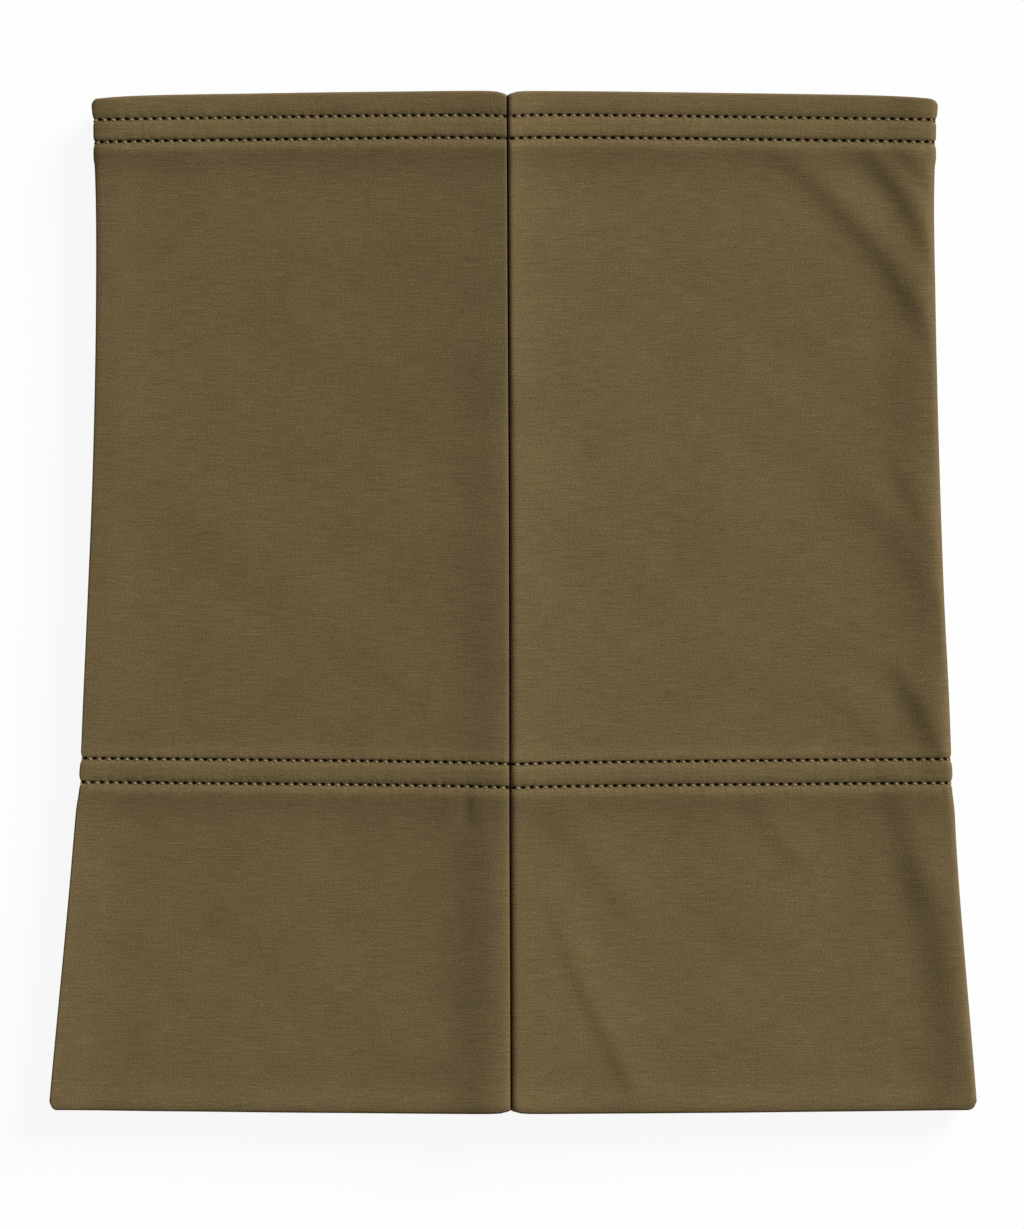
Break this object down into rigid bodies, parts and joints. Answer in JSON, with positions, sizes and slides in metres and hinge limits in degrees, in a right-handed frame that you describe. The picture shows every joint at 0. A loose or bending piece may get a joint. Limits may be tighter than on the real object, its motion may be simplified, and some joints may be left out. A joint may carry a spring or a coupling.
{
  "type": "neck gaiter",
  "caption": "Open tube of brushed stretch cloth lying flat: narrow stitched top hem, centre seam and a deep turned-up lower band, pulled over the head to cover neck and face.",
  "frame": {"origin": "on the surface it lies on, under the middle of the flat tube", "axes": "+X across the tube, +Y up its length from the lower band to the top hem, +Z out of the seamed side, away from the surface"},
  "size_m": [0.2576, 0.2814, 0.0161],
  "materials": {
    "cloth": "matte brushed stretch jersey, olive brown"
  },
  "bodies": {
    "root": {"top_hem": "cloth", "body": "cloth", "lower_band": "cloth"}
  },
  "joints": []
}
